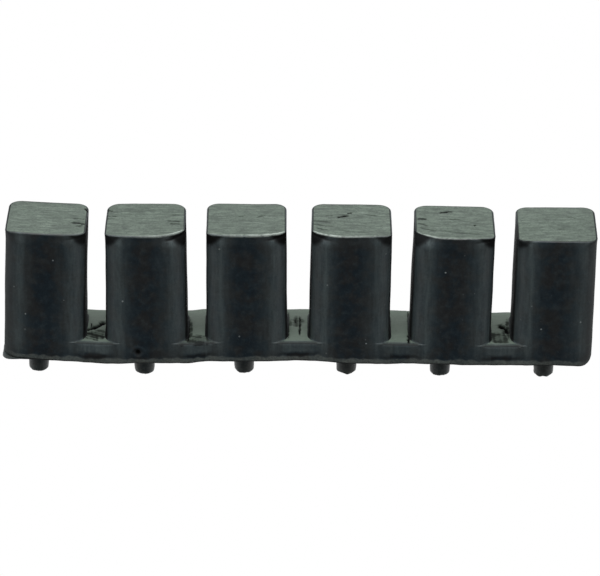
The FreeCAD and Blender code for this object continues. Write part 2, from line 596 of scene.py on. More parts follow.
class Graph:
    """A node tree that is filled one node at a time."""

    def __init__(self, tree: bpy.types.NodeTree) -> None:
        """Empty the tree and keep it."""
        tree.nodes.clear()
        self.tree = tree

    def node(
        self,
        kind: str,
        settings: dict[str, Any] | None = None,
        inputs: dict[str, Any] | None = None,
        output: str | int = 0,
    ) -> Value:
        """Add a node.

        Args:
            kind: The node's type.
            settings: Its own properties, set first.
            inputs: Values or links for its sockets, by identifier or name.
            output: The identifier, name or place of the output that is wanted.

        Returns:
            That output.
        """
        made = self._add(kind, settings or {}, inputs or {})
        return Value(self, self._find(made.outputs, output))

    def end(self, kind: str, inputs: dict[str, Any]) -> None:
        """Add a node that ends the tree and has no outputs."""
        self._add(kind, {}, inputs)

    def _add(self, kind: str, settings: dict[str, Any], inputs: dict[str, Any]) -> bpy.types.Node:
        """Add a node with its settings and inputs.

        Args:
            kind: The node's type.
            settings: Its own properties.
            inputs: Values or links for its sockets.

        Returns:
            The node.
        """
        made = self.tree.nodes.new(kind)
        for name, value in settings.items():
            setattr(made, name, value)
        for name, value in inputs.items():
            socket = self._find(made.inputs, name)
            if isinstance(value, Value):
                self.tree.links.new(value.socket, socket)
            else:
                socket.default_value = value
        return made

    def output_of(self, node: bpy.types.Node, output: str) -> bpy.types.NodeSocket:
        """A node's output by its name."""
        return self._find(node.outputs, output)

    @staticmethod
    def _find(sockets: Any, name: str | int) -> bpy.types.NodeSocket:
        """A socket by its place, identifier or name.

        Args:
            sockets: A node's inputs or outputs.
            name: The place, identifier or name that is wanted.

        Returns:
            The socket.
        """
        if isinstance(name, int):
            return sockets[name]
        for socket in sockets:
            if socket.identifier == name:
                return socket
        return sockets[name]

    def math(self, operation: str, first: Any, second: Any) -> Value:
        """One Math node."""
        return self.node("ShaderNodeMath", {"operation": operation}, {"Value": first, "Value_001": second})

    def vector(self, operation: str, first: Any, second: Any) -> Value:
        """One Vector Math node that gives a vector."""
        inputs = {"Vector": first, "Vector_001": second}
        return self.node("ShaderNodeVectorMath", {"operation": operation}, inputs, "Vector")

    def mix(self, share: Any, first: Any, second: Any, blend: str = "MIX") -> Value:
        """Mix two colours.

        Args:
            share: How much of the second colour there is.
            first: The first colour.
            second: The second colour.
            blend: How they are blended.

        Returns:
            The mixed colour.
        """
        settings = {"data_type": "RGBA", "blend_type": blend}
        inputs = {"Factor_Float": share, "A_Color": first, "B_Color": second}
        return self.node("ShaderNodeMix", settings, inputs, "Result_Color")

    def layered(self, colour: Any, *layers: tuple[Value, Colour]) -> Value:
        """Lay colours over a colour, one after the other, each as strongly as its own share says.

        Args:
            colour: The colour underneath.
            layers: A share and a colour for each layer, the lowest first.

        Returns:
            The colour with its layers.
        """
        for share, over in layers:
            colour = self.mix(share, colour, opaque(over))
        return colour

    def turned(self, place: Value, turn: float, stretch: float) -> Value:
        """Places turned about Z by an angle in radians, and then stretched along X."""
        inputs = {"Vector": place, "Rotation": (0.0, 0.0, turn), "Scale": (stretch, 1.0, 1.0)}
        return self.node("ShaderNodeMapping", {}, inputs, 0)

    def noise(self, place: Value, scale: float, detail: float = 3.0, rough: float = 0.5) -> Value:
        """Soft noise from 0 to 1."""
        inputs = {"Vector": place, "Scale": scale, "Detail": detail, "Roughness": rough}
        return self.node("ShaderNodeTexNoise", {}, inputs, 0)

    def attribute(self, name: str) -> Value:
        """A number that the mesh carries at each point."""
        return self.node("ShaderNodeAttribute", {"attribute_name": name}, {}, "Fac")


@dataclass(frozen=True)
class RubberFinish:
    """Black moulded rubber: dark on its faces, with painted highlights on its rounded edges, and dust with
    a painted lit-top sheen where it faces up.
    """

    name: str
    blue: Colour = (0.0105, 0.0205, 0.0285)
    brown: Colour = (0.0205, 0.0225, 0.0235)
    # Pale rubber for flecks, and the colour of the painted highlight down the rounded edges.
    edge: Colour = (0.094, 0.122, 0.126)
    torn_rubber: Colour = (0.200, 0.226, 0.205)
    torn_dark: Colour = (0.016, 0.021, 0.020)
    # Dust on the upward faces, with a painted lit-top sheen in the same colours.
    dust_and_top_light: Colour = (0.078, 0.110, 0.085)
    dust_and_top_light_dark: Colour = (0.031, 0.047, 0.037)
    dust_and_top_light_pale: Colour = (0.138, 0.184, 0.147)
    # Pale worn rubber, also the colour of the rim's painted highlight.
    worn_and_highlight: Colour = (0.36, 0.42, 0.38)
    # Near black, for dark marks and flecks and for painted shade.
    mark_and_shade_black: Colour = (0.004, 0.004, 0.004)
    speck: Colour = (0.30, 0.34, 0.34)
    roughness: float = 0.42
    dust_and_top_light_roughness: float = 0.55
    refraction: float = 1.5
    speck_share: float = 0.20
    grain: float = 0.000014
    patch_scale: float = 520.0
    fleck_scale: float = 1350.0
    rim_patch_scale: float = 1300.0
    streak_scale: float = 3000.0
    streak_stretch: float = 0.10
    fine_scale: float = 4200.0
    cloud_scale: float = 760.0
    mottle_scale: float = 2300.0
    mottle_stretch: float = 0.40
    mark_and_shade_share: float = 0.92

    def make(self) -> bpy.types.Material:
        """Build the material's nodes.

        Returns:
            The material.
        """
        material = bpy.data.materials.new(self.name)
        material.use_nodes = True
        graph = Graph(material.node_tree)
        place = graph.node("ShaderNodeTexCoord", {}, {}, "Object")
        dust_and_top_light, rim, mark_and_shade, torn, painted_highlight = (graph.attribute(name) for name in MASKS)
        patches = graph.noise(place, self.patch_scale, 5.0, 0.62)
        upright = graph.vector("MULTIPLY", place, (1.0, 1.0, self.streak_stretch))
        streaks = graph.noise(upright, self.streak_scale, 3.0, 0.6)
        fine = graph.noise(place, self.fine_scale, 3.0, 0.65)
        flecks = graph.noise(place, self.fleck_scale, 4.0, 0.66)

        side = graph.mix(patches.step(0.40, 0.60), opaque(self.blue), opaque(self.brown))
        side = graph.layered(
            side,
            (flecks.step(0.46, 0.78) * 0.22, self.edge),
            (flecks.step(0.52, 0.28) * 0.30, self.mark_and_shade_black),
            (fine.step(0.54, 0.80) * 0.22, self.edge),
            # Painted highlight down the rounded edges, streaked.
            (painted_highlight * (streaks.step(0.25, 0.75) * 0.55 + fine.step(0.3, 0.7) * 0.25 + 0.42), self.edge),
            (torn * (fine.step(0.3, 0.7) * 0.5 + 0.5), self.torn_rubber),
        )
        dust_and_top_light_colour, scratches = self._dust_and_top_light(graph, place, fine)
        # The painted highlight also pales the top colour, mostly on the webs' tops.
        dust_and_top_light_colour = graph.layered(dust_and_top_light_colour, (painted_highlight, self.dust_and_top_light_pale))
        specks = self._specks(graph, place)
        rim_patches = graph.noise(place, self.rim_patch_scale, 3.0, 0.6).step(0.22, 0.50)
        colour = graph.layered(
            # Upward faces: dust with a painted lit-top sheen over the side colour.
            graph.mix(dust_and_top_light, side, dust_and_top_light_colour),
            (specks * (1 - dust_and_top_light), self.speck),
            # The rim: pale worn rubber with a painted highlight, in patches.
            (rim * rim_patches, self.worn_and_highlight),
            # Dark marks, together with painted shade.
            (mark_and_shade, self.mark_and_shade_black),
        )
        rough = patches * 0.12 + (self.roughness - 0.06) + torn * 0.14 + painted_highlight * 0.12
        rough = rough + dust_and_top_light * (self.dust_and_top_light_roughness - self.roughness) + mark_and_shade * 0.4
        grain = fine * 0.5 + streaks * 0.3 * (1 - dust_and_top_light) + specks * 1.2 + torn * fine * 1.6
        grain = grain + dust_and_top_light * (fine * 0.8 - scratches * 1.4)
        inputs = {"Height": grain, "Distance": self.grain, "Strength": 1.0}
        normal = graph.node("ShaderNodeBump", {}, inputs, "Normal")
        inputs = {"Base Color": colour, "Roughness": rough, "Normal": normal, "IOR": self.refraction}
        rubber = graph.node("ShaderNodeBsdfPrincipled", {}, inputs, "BSDF")
        # A dark matt shader mixed in for dark marks and painted shade.
        mark_and_shade_bsdf = graph.node("ShaderNodeBsdfDiffuse", {}, {"Color": opaque(self.mark_and_shade_black)}, "BSDF")
        inputs = {"Fac": mark_and_shade * self.mark_and_shade_share, "Shader": rubber, "Shader_001": mark_and_shade_bsdf}
        surface = graph.node("ShaderNodeMixShader", {}, inputs, "Shader")
        graph.end("ShaderNodeOutputMaterial", {"Surface": surface})
        return material

    def _dust_and_top_light(self, graph: Graph, place: Value, fine: Value) -> tuple[Value, Value]:
        """The colour of an upward face: dust with a painted lit-top sheen.

        Args:
            graph: The material's tree.
            place: Where each point is.
            fine: Fine noise, shared with the rest of the finish.

        Returns:
            The bloom's colour and a mask of its scratches.
        """
        clouds = graph.noise(place, self.cloud_scale, 5.0, 0.66)
        stretched = graph.vector("MULTIPLY", place, (self.mottle_stretch, 1.0, 1.0))
        mottle = graph.noise(stretched, self.mottle_scale, 5.0, 0.7)
        swept = graph.noise(graph.turned(place, 0.12, 0.16), 3600.0, 4.0, 0.7)
        crossed = graph.noise(graph.turned(place, -0.25, 0.14), 3200.0, 3.0, 0.7)
        scratches = swept.step(0.60, 0.70) * clouds.step(0.40, 0.60)
        dust_and_top_light_colour = graph.layered(
            graph.mix(clouds.step(0.26, 0.56), opaque(self.dust_and_top_light_dark), opaque(self.dust_and_top_light)),
            (mottle.step(0.46, 0.76) * 0.60, self.dust_and_top_light_pale),
            (mottle.step(0.42, 0.24) * 0.7, self.dust_and_top_light_dark),
            (swept.step(0.52, 0.36) * 0.70, self.dust_and_top_light_dark),
            (crossed.step(0.50, 0.62) * 0.55, self.dust_and_top_light_pale),
            (fine.step(0.52, 0.34) * 0.60, self.dust_and_top_light_dark),
            (scratches * 0.6, self.torn_dark),
            (crossed.step(0.68, 0.78) * 0.5, self.worn_and_highlight),
        )
        return dust_and_top_light_colour, scratches

    def _specks(self, graph: Graph, place: Value) -> Value:
        """A few tiny pale dots of dust, as a mask.

        Args:
            graph: The material's tree.
            place: Where each point is.

        Returns:
            The mask.
        """
        wobble = graph.noise(place, 6000.0, 2.0)
        inputs = {"Vector": place, "Scale": 1000.0, "Randomness": 1.0}
        near = graph.node("ShaderNodeTexVoronoi", {"feature": "F1"}, inputs, "Distance")
        chosen = graph.node("ShaderNodeSeparateColor", {}, {"Color": near.also("Color")}, "Red")
        return (near + wobble * 0.06).step(0.15, 0.09) * chosen.step(1 - self.speck_share, 1.0)


# ---------------------------------------------------------------- geometry nodes


class NodeForm:
    """A geometry tree that is being built, with named inputs, a finish and one result."""

    def __init__(self, name: str, sizes: Iterable[str], vectors: Iterable[str] = ()) -> None:
        """Start the tree with its inputs.

        Args:
            name: The tree's name.
            sizes: The names of its number inputs.
            vectors: The names of its vector inputs.
        """
        self.tree = bpy.data.node_groups.new(name, "GeometryNodeTree")
        self.graph = Graph(self.tree)
        face = self.tree.interface
        face.new_socket("Geometry", in_out="INPUT", socket_type="NodeSocketGeometry")
        for size in sizes:
            face.new_socket(size, in_out="INPUT", socket_type="NodeSocketFloat")
        for vector in vectors:
            face.new_socket(vector, in_out="INPUT", socket_type="NodeSocketVector")
        face.new_socket("Finish", in_out="INPUT", socket_type="NodeSocketMaterial")
        face.new_socket("Geometry", in_out="OUTPUT", socket_type="NodeSocketGeometry")
        self.given = self.tree.nodes.new("NodeGroupInput")

    def asked(self, name: str) -> Value:
        """One of the tree's own inputs."""
        return Value(self.graph, self.given.outputs[name])

    def wander(self, place: Value, size: Value, scale: Value) -> Value:
        """A vector that wanders about zero, up to half a size each way.

        Args:
            place: Where each point is.
            size: How far it wanders in all.
            scale: How quickly it changes from place to place.

        Returns:
            The vector.
        """
        inputs = {"Vector": place, "Scale": scale, "Detail": 1.0}
        colour = self.graph.node("ShaderNodeTexNoise", {}, inputs, 1)
        centred = self.graph.vector("SUBTRACT", colour, (0.5, 0.5, 0.5))
        inputs = {"Vector": centred, "Scale": size}
        return self.graph.node("ShaderNodeVectorMath", {"operation": "SCALE"}, inputs, "Vector")

    def move(self, geometry: Value, offset: Value) -> Value:
        """The geometry with its points moved by an offset."""
        inputs = {"Geometry": geometry, "Offset": offset}
        return self.graph.node("GeometryNodeSetPosition", {}, inputs, "Geometry")

    def place(self) -> Value:
        """Where each point is."""
        return self.graph.node("GeometryNodeInputPosition", {}, {}, "Position")

    def place_up(self) -> Value:
        """How high each point is."""
        return self.graph.node("ShaderNodeSeparateXYZ", {}, {"Vector": self.place()}, "Z")

    def close(self, geometry: Value) -> bpy.types.GeometryNodeTree:
        """End the tree in real geometry with its finish.

        Args:
            geometry: The finished geometry.

        Returns:
            The tree.
        """
        real = self.graph.node("GeometryNodeRealizeInstances", {}, {"Geometry": geometry}, "Geometry")
        inputs = {"Geometry": real, "Material": self.asked("Finish")}
        done = self.graph.node("GeometryNodeSetMaterial", {}, inputs, "Geometry")
        self.graph.end("NodeGroupOutput", {"Geometry": done})
        return self.tree


def apply_form(
    piece: bpy.types.Object,
    tree: bpy.types.GeometryNodeTree,
    values: dict[str, Any],
) -> None:
    """Run a geometry tree on a piece and keep the result as its plain mesh.

    Args:
        piece: The object, which keeps its name.
        tree: The geometry tree.
        values: The values of the tree's inputs, by name.
    """
    modifier = piece.modifiers.new(tree.name, "NODES")
    modifier.node_group = tree
    for item in tree.interface.items_tree:
        if item.in_out == "INPUT" and item.name in values:
            modifier[item.identifier] = values[item.name]
    bpy.context.view_layer.update()
    evaluated = piece.evaluated_get(bpy.context.evaluated_depsgraph_get())
    mesh = bpy.data.meshes.new_from_object(evaluated)
    piece.modifiers.clear()
    piece.data = mesh
    mesh.name = piece.name


@dataclass(frozen=True)
class MouldSkin:
    """The slow wander and fine ripple of a soft moulding, the same field of space on every piece."""

    wander: float = 0.16 * MM
    wander_scale: float = 170.0
    ripple: float = 0.020 * MM
    ripple_scale: float = 1500.0

    def tree(self) -> bpy.types.GeometryNodeTree:
        """The tree that moves a piece's points by two wandering fields.

        Returns:
            The tree.
        """
        form = NodeForm("mould_skin", ("Wander", "Wander Scale", "Ripple", "Ripple Scale"))
        place = form.place()
        slow = form.wander(place, form.asked("Wander"), form.asked("Wander Scale"))
        fine = form.wander(place, form.asked("Ripple"), form.asked("Ripple Scale"))
        moved = form.move(form.asked("Geometry"), form.graph.vector("ADD", slow, fine))
        return form.close(moved)

    def values(self, finish: bpy.types.Material) -> dict[str, Any]:
        """What the tree's inputs are set to, with a finish.

        Args:
            finish: The piece's finish.

        Returns:
            The values by name.
        """
        return {
            "Wander": self.wander,
            "Wander Scale": self.wander_scale,
            "Ripple": self.ripple,
            "Ripple Scale": self.ripple_scale,
            "Finish": finish,
        }


# ---------------------------------------------------------------- the bench


Masks = dict[str, np.ndarray]


@dataclass
class Bench:
    """What every piece needs while it is made: the sizes, the resting bend, the skin and the finish."""

    comb: Comb
    bend: RestingBend
    skin: MouldSkin
    skin_tree: bpy.types.GeometryNodeTree
    finish: bpy.types.Material
    sharp_deg: float = 50.0

    def piece(
        self, name: str, points: np.ndarray, faces: np.ndarray, masks: Masks, marks: Iterable[Any] = ()
    ) -> bpy.types.Object:
        """Make one closed piece: press its marks, lay it in the resting bend and give it its skin.

        Args:
            name: The piece's name.
            points: Its points on the straight moulding.
            faces: Its quads.
            masks: Numbers for each point that its finish reads.
            marks: Hollows, gouges and scuffs to press into it.

        Returns:
            The piece, at the origin.
        """
        masks = {"mark_and_shade": np.zeros(len(points)), **masks}
        for mark in marks:
            points, marked = mark.press(points)
            # Each mark's darkening joins the mask that holds dark marks and painted shade.
            masks["mark_and_shade"] = np.maximum(masks["mark_and_shade"], marked)
        mesh = bpy.data.meshes.new(name)
        mesh.from_pydata(self.bend.lay(points).tolist(), [], faces.tolist())
        made = add_object(name, mesh)
        self.mask(made, masks)
        self.dress(made)
        return made

    @staticmethod
    def mask(made: bpy.types.Object, masks: Masks) -> None:
        """Give a piece's points the numbers that the finish reads, and nought for the rest.

        Args:
            made: The piece.
            masks: The numbers by mask.
        """
        nought = np.zeros(len(made.data.vertices))
        for key in MASKS:
            layer = made.data.attributes.new(key, "FLOAT", "POINT")
            layer.data.foreach_set("value", np.clip(masks.get(key, nought), 0, 1).astype(np.float32))

    def dress(self, made: bpy.types.Object) -> None:
        """Give a piece its skin, smooth shading and its finish's slot.

        Args:
            made: The piece.
        """
        apply_form(made, self.skin_tree, self.skin.values(self.finish))
        made.data.polygons.foreach_set("use_smooth", np.ones(len(made.data.polygons), bool))
        made.data.set_sharp_from_angle(angle=math.radians(self.sharp_deg))


# ---------------------------------------------------------------- blocks


@dataclass(frozen=True)
class Lip:
    """How one block's lip was left, in pairs for its left and right front corners, in millimetres.

    radii are the corners of the top; rims, shades and cracks say how strongly the pale torn rim with its
    painted highlight, the painted shadow in the hollow under it and its crack's painted dark line show;
    bows is how far the corner is drawn back; crown and dip are how far the top rises in its middle and
    falls at its front.
    """

    radii: tuple[float, float]
    rims: tuple[float, float]
    shades: tuple[float, float]
    cracks: tuple[float, float] = (0.0, 0.0)
    bows: tuple[float, float] = (0.55, 0.55)
    crown: float = 0.0
    dip: float = 0.0


@dataclass(frozen=True)
class LipShadow:
    """The painted shadow in the hollow under a lip's front corner and the crack in it, with its painted
    dark line, in millimetres.
    """

    reach: float = 1.75
    width: float = 1.9
    margin: float = 0.10
    starts: tuple[float, float] = (0.05, 0.16)
    crack_below: float = 0.34
    crack_slope: float = 0.10
    crack_width: float = 0.13
    crack_ends: tuple[float, float] = (2.6, 1.2)
    crack_depth: float = 0.12

    def shadow(self, below: np.ndarray, from_side: np.ndarray) -> np.ndarray:
        """How dark the painted shadow in the hollow is.

        Args:
            below: How far each point is under the top.
            from_side: How far it is in from the block's side.

        Returns:
            How dark each point is.
        """
        reach = self.reach * (1 - from_side / self.width)
        return smooth_step(-0.25, 0.45, reach - below + self.margin) * smooth_step(*self.starts, below)

    def crack(self, below: np.ndarray, from_side: np.ndarray) -> np.ndarray:
        """How strong the crack is: its painted dark line, and how far it is pressed in.

        Args:
            below: How far each point is under the top.
            from_side: How far it is in from the block's side.

        Returns:
            How strong it is at each point.
        """
        line = hump(below - self.crack_below - self.crack_slope * from_side, self.crack_width)
        return line * smooth_step(*self.crack_ends, from_side)


@dataclass(frozen=True)
class EdgeHighlights:
    """The painted highlight down the rounded upright edges, by how far each place is in from the block's
    side.
    """

    left: tuple[tuple[float, float], ...] = (
        (0.0, 0.66), (0.35, 0.60), (0.8, 0.50), (1.2, 0.60), (1.55, 0.82),
        (1.85, 0.60), (2.1, 0.36), (2.5, 0.18), (2.9, 0.07), (3.4, 0.0),
    )
    right: tuple[tuple[float, float], ...] = (
        (0.0, 0.60), (0.35, 0.56), (0.8, 0.52), (1.35, 0.68), (1.7, 0.46),
        (2.0, 0.31), (2.4, 0.19), (2.9, 0.10), (3.5, 0.0),
    )

    def at(self, offset: np.ndarray, half: float) -> np.ndarray:
        """How pale some places are.

        Args:
            offset: How far each place is to the right of the block's middle.
            half: Half of the block's width.

        Returns:
            The pale colour's share at each place.
        """
        from_side = (half - np.abs(offset)) / MM
        left, right = (np.interp(from_side, *np.array(rows).T) for rows in (self.left, self.right))
        return np.where(offset < 0, left, right)


@dataclass(frozen=True)
class Blocks:
    """The upright blocks: rounded at their upright edges, with a flat top of dust and painted top light,
    and a flared front lip.
    """

    bench: Bench
    lips: tuple[Lip, ...]
    corner_radius: float = 1.76 * MM
    rear_top_radius: float = 1.28 * MM
    lip_height: float = 1.55 * MM
    foot_fillet: float = 0.16 * MM
    rim_radius: float = 0.14 * MM
    rim_lift: float = 0.08 * MM
    hollow: float = 0.06 * MM
    draft: float = 0.09 * MM
    flare_power: float = 1.7
    bow_power: float = 2.6
    edge_width: float = 0.28 * MM
    rim_width: float = 0.32 * MM
    nick_reach: float = 0.5 * MM
    face_fall: float = 1.15
    rim_strength: float = 1.3
    rim_contrast: float = 2.2
    side_dust_and_top_light: float = 0.30
    # Painted shade: where the rim turns away, at the comb's ends, in the slots and in the gaps of the
    # rim's highlight.
    turned_shade: float = 0.80
    end_shade: float = 0.45
    slot_shade: float = 0.80
    slot_fade: float = 0.45
    rim_gap_shade: float = 0.45
    shadow_rears: tuple[float, float] = (0.1, 0.3)
    lip_shadow: LipShadow = LipShadow()
    edge_highlights: EdgeHighlights = EdgeHighlights()
    grid: LoopGrid = LoopGrid(8, 68, 54)
    foot_steps: int = 6
    wall_steps: int = 26
    lip_steps: int = 18

    def _heights(self, low: float, high: float) -> tuple[np.ndarray, np.ndarray]:
        """The heights of the loops, and how far round the top rim each one is in radians.

        Args:
            low: The height of the block's foot.
            high: The height of its top.

        Returns:
            The heights and the angles.
        """
        foot = low + self.foot_fillet * (1 - np.cos(np.linspace(0, math.pi / 2, self.foot_steps)))
        wall = np.linspace(foot[-1], high - self.lip_height, self.wall_steps)[1:]
        lip = np.linspace(wall[-1], high - self.rim_radius, self.lip_steps)[1:]
        turn = np.linspace(0, math.pi / 2, self.foot_steps)[1:]
        rim = high - self.rim_radius * (1 - np.sin(turn))
        heights = np.concatenate((foot, wall, lip, rim))
        turns = np.concatenate((np.zeros(len(heights) - len(turn)), turn))
        return heights, turns

    def _spread_foot(self, flat: np.ndarray, half_x: float, spread: float, number: int) -> np.ndarray:
        """Spread the foot over the webs beside it, and keep the strip's own ends flush.

        Args:
            flat: One loop's points in plan, about the block's middle.
            half_x: Half of the block's width.
            spread: How far the foot spreads at this height.
            number: The block's number.

        Returns:
            The moved points.
        """
        across = flat[:, 0] / half_x
        webs = (number > 1, number < len(self.bench.comb.segments))
        room = np.where(across < 0, webs[0], webs[1]) * smooth_step(0.5, 1.0, np.abs(across))
        moved = flat.copy()
        moved[:, 0] += np.sign(across) * spread * room
        return moved

    def make(self, segment: Segment) -> bpy.types.Object:
        """Build one block.

        Args:
            segment: The segment that it stands on.

        Returns:
            The piece, riding on its segment.
        """
        lip = self.lips[segment.number - 1]
        (x0, y0, low), (x1, y1, high) = segment.block
        half_x, half_y = (x1 - x0) / 2, (y1 - y0) / 2
        middle = np.array([(x0 + x1) / 2, (y0 + y1) / 2, 0])
        half_x = min(half_x, (segment.pad[1].x - segment.pad[0].x) / 2)
        solid = LoopSolid(self.grid)
        heights, turns = self._heights(low, high)
        for height, turn in zip(heights, turns):
            up = float(np.clip((height - (high - self.lip_height)) / self.lip_height, 0, 1))
            flare = up**self.flare_power
            foot = max(0.0, 1 - (height - low) / self.foot_fillet)
            spread = self.foot_fillet * (1 - math.sqrt(max(0.0, 1 - foot**2)))
            pull = self.rim_radius * (1 - math.cos(turn))
            front = [self.corner_radius + (r * MM - self.corner_radius) * flare for r in lip.radii]
            rear = self.corner_radius + (self.rear_top_radius - self.corner_radius) * flare
            radii = [r - pull for r in (front[0], front[1], rear, rear)]
            drawn = pull + self.draft * (height - low) / (high - low)
            flat = self.grid.rounded(half_x - drawn, half_y - pull, radii)
            flat = self._spread_foot(flat, half_x, spread, segment.number)
            solid.loops.append(np.column_stack((flat, np.full(len(flat), height))) + middle)
        points, faces = solid.build()
        local = points - middle
        points, masks = self._shape(points, local, (half_x, half_y), (low, high), lip, segment.number)
        lowest = high - self.nick_reach
        nicks = [Gouge.from_mm(row[1:], lowest) for row in TOP_NICKS if row[0] == segment.number]
        made = self.bench.piece(f"upright_block_{segment.number}", points, faces, masks, nicks)
        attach(made, segment.body)
        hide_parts(f"block_{segment.number}")
        return made

    def _shape(
        self,
        points: np.ndarray,
        local: np.ndarray,
        half: tuple[float, float],
        span: tuple[float, float],
        lip: Lip,
        number: int,
    ) -> tuple[np.ndarray, Masks]:
        """Hollow the faces, lift the trimmed rim and work out the masks.

        Args:
            points: The block's points.
            local: The same points about the block's middle in plan.
            half: Half of its width and depth.
            span: The heights of its foot and top.
            lip: How its lip was left.
            number: The block's number, which seeds its ragged lines.

        Returns:
            The shaped points and the masks of its finish.
        """
        low, high = span
        across = local[:, 0] / half[0]
        deep = local[:, 1] / half[1]
        up = (points[:, 2] - low) / (high - low)
        points = points.copy()
        face = np.clip(1 - (across * self.face_fall) ** 2, 0, 1)
        face = face * smooth_step(0.0, 0.25, up) * (1 - smooth_step(0.85, 1, up))
        points[:, 1] += face * self.hollow * (deep < -0.9) - face * self.hollow * (deep > 0.9)
        share = (across + 1) / 2
        rim_share = lip.rims[0] * (1 - share) + lip.rims[1] * share
        trim = Ragged(40 + number, 1.0, 0.35 * MM, 3.0 * MM).at(points[:, 0])
        from_front = (deep + 1) * half[1]
        edge = hump(from_front, self.edge_width)
        edge = edge * smooth_step(high - 2.2 * self.rim_radius, high, points[:, 2])
        corner = smooth_step(0.35, 0.95, np.abs(across))
        points[:, 2] += edge * self.rim_lift * (0.4 + 0.6 * trim) * rim_share * (1 + corner)
        crown = lip.crown * MM * smooth_step(0.2, 1.0, deep) * np.clip(1 - across**2, 0, 1)
        points[:, 2] += (crown - lip.dip * MM * smooth_step(0.6, -1.0, deep)) * smooth_step(0.9, 1, up)
        bow = np.where(across < 0, lip.bows[0], lip.bows[1]) * np.abs(across) ** self.bow_power
        flare = smooth_step(high - self.lip_height, high, points[:, 2]) ** 1.3
        points[:, 1] += bow * MM * flare * np.clip((1 - deep) / 2, 0, 1) ** 2
        # The rim mask: pale torn rubber along the front edge, with a painted highlight on it.
        near_top = points[:, 2] > high - 1.02 * self.rim_radius
        front_rim = near_top & (from_front < self.rim_width)
        rim = self.rim_strength * rim_share**self.rim_contrast * (0.80 + 0.4 * trim)
        rim = front_rim * np.clip(rim, 0, 1)
        # Dust with a painted lit-top sheen: full on the top and the front rim, weaker on the rim's sides
        # and rear.
        dust_and_top_light = np.zeros(len(points))
        inner = (self.grid.across - 1) * (self.grid.along - 1)
        dust_and_top_light[-inner:] = 1
        ring = slice(-2 * inner - self.grid.points, -2 * inner)
        dust_and_top_light[ring] = np.where(front_rim[ring], 1.0, self.side_dust_and_top_light)
        # Painted highlights down the rounded upright edges, and none on the top.
        painted_highlight = self._edge_highlights(local, half, points[:, 2], span)
        painted_highlight[-inner:] = 0
        # Painted shadows under the lip's front corners, then painted shade on the side faces, and none on
        # the top.
        mark_and_shade = self._lip_shade(points, across, deep, half, high, lip)
        mark_and_shade = np.maximum(mark_and_shade, self._side_shade(local, half, number))
        mark_and_shade[-inner:] = 0
        # On the rim ring: painted shade where the rim turns away at the sides and rear, and on the front
        # where its painted highlight is weak.
        rim_gap_painted_shade = self.rim_gap_shade * np.clip(1 - 1.6 * rim[ring], 0, 1)
        mark_and_shade[ring] = np.where(front_rim[ring], rim_gap_painted_shade, self.turned_shade)
        return points, {"dust_and_top_light": dust_and_top_light, "rim": rim, "painted_highlight": painted_highlight, "mark_and_shade": mark_and_shade}

    def _edge_highlights(
        self, local: np.ndarray, half: tuple[float, float], height: np.ndarray, span: tuple[float, float]
    ) -> np.ndarray:
        """The painted highlights down the rounded upright edges and the faint one under the top edge.

        Args:
            local: The block's points about its middle in plan.
            half: Half of its width and depth.
            height: How high each point is.
            span: The heights of its foot and top.

        Returns:
            How pale each point is.
        """
        high = span[1]
        from_side = half[0] - np.abs(local[:, 0])
        edge_highlights = self.edge_highlights.at(local[:, 0], half[0])
        under_top = hump(high - height - 0.75 * MM, 0.45 * MM) * (from_side > 1.2 * MM) * 0.10
        stray = Ragged(53, 0.08, 1.5 * MM, 7.0 * MM).at(height + 3.0 * local[:, 0])
        return np.clip(edge_highlights * (1 + stray) + under_top, 0, 1)

    def _side_shade(self, local: np.ndarray, half: tuple[float, float], number: int) -> np.ndarray:
        """The painted shade on the matt side faces: darker in the slots between blocks than at the comb's
        two ends.

        Args:
            local: The block's points about its middle in plan.
            half: Half of its width and depth.
            number: The block's number.

        Returns:
            How dark each point is.
        """
        from_side = half[0] - np.abs(local[:, 0])
        slot = 1 - smooth_step(0.06 * MM, 0.26 * MM, from_side)
        slot = slot * (self.slot_shade - self.slot_fade * smooth_step(-half[1], half[1], local[:, 1]))
        end = self.end_shade * (1 - smooth_step(0.0, self.corner_radius, from_side))
        outward = (number == 1) & (local[:, 0] < 0) | (number == len(self.lips)) & (local[:, 0] > 0)
        return np.where(outward, end, slot)

    def _lip_shade(
        self,
        points: np.ndarray,
        across: np.ndarray,
        deep: np.ndarray,
        half: tuple[float, float],
        high: float,
        lip: Lip,
    ) -> np.ndarray:
        """The painted shadows in the hollows under the lip's front corners, with a crack where it was torn
        and its painted dark line.

        Args:
            points: The block's points, which the cracks are pressed into.
            across: Each point's place from the left side, -1, to the right side, 1.
            deep: Each point's place from the front, -1, to the rear, 1.
            half: Half of the block's width and depth.
            high: The height of the top.
            lip: How the lip was left.

        Returns:
            How dark each point is.
        """
        mark_and_shade = np.zeros(len(points))
        below = (high - points[:, 2]) / MM
        for side, shade, crack, rear in zip(Side, lip.shades, lip.cracks, self.shadow_rears):
            from_side = (1 - side.value * across) * half[0] / MM
            line = self.lip_shadow.crack(below, from_side) * crack
            shadow = self.lip_shadow.shadow(below, from_side) * shade
            mark_and_shade = np.maximum(mark_and_shade, np.maximum(shadow, line) * (deep < rear))
            points[:, 1] += line * self.lip_shadow.crack_depth * MM * (deep < -0.5)
        return mark_and_shade


# ---------------------------------------------------------------- the strip


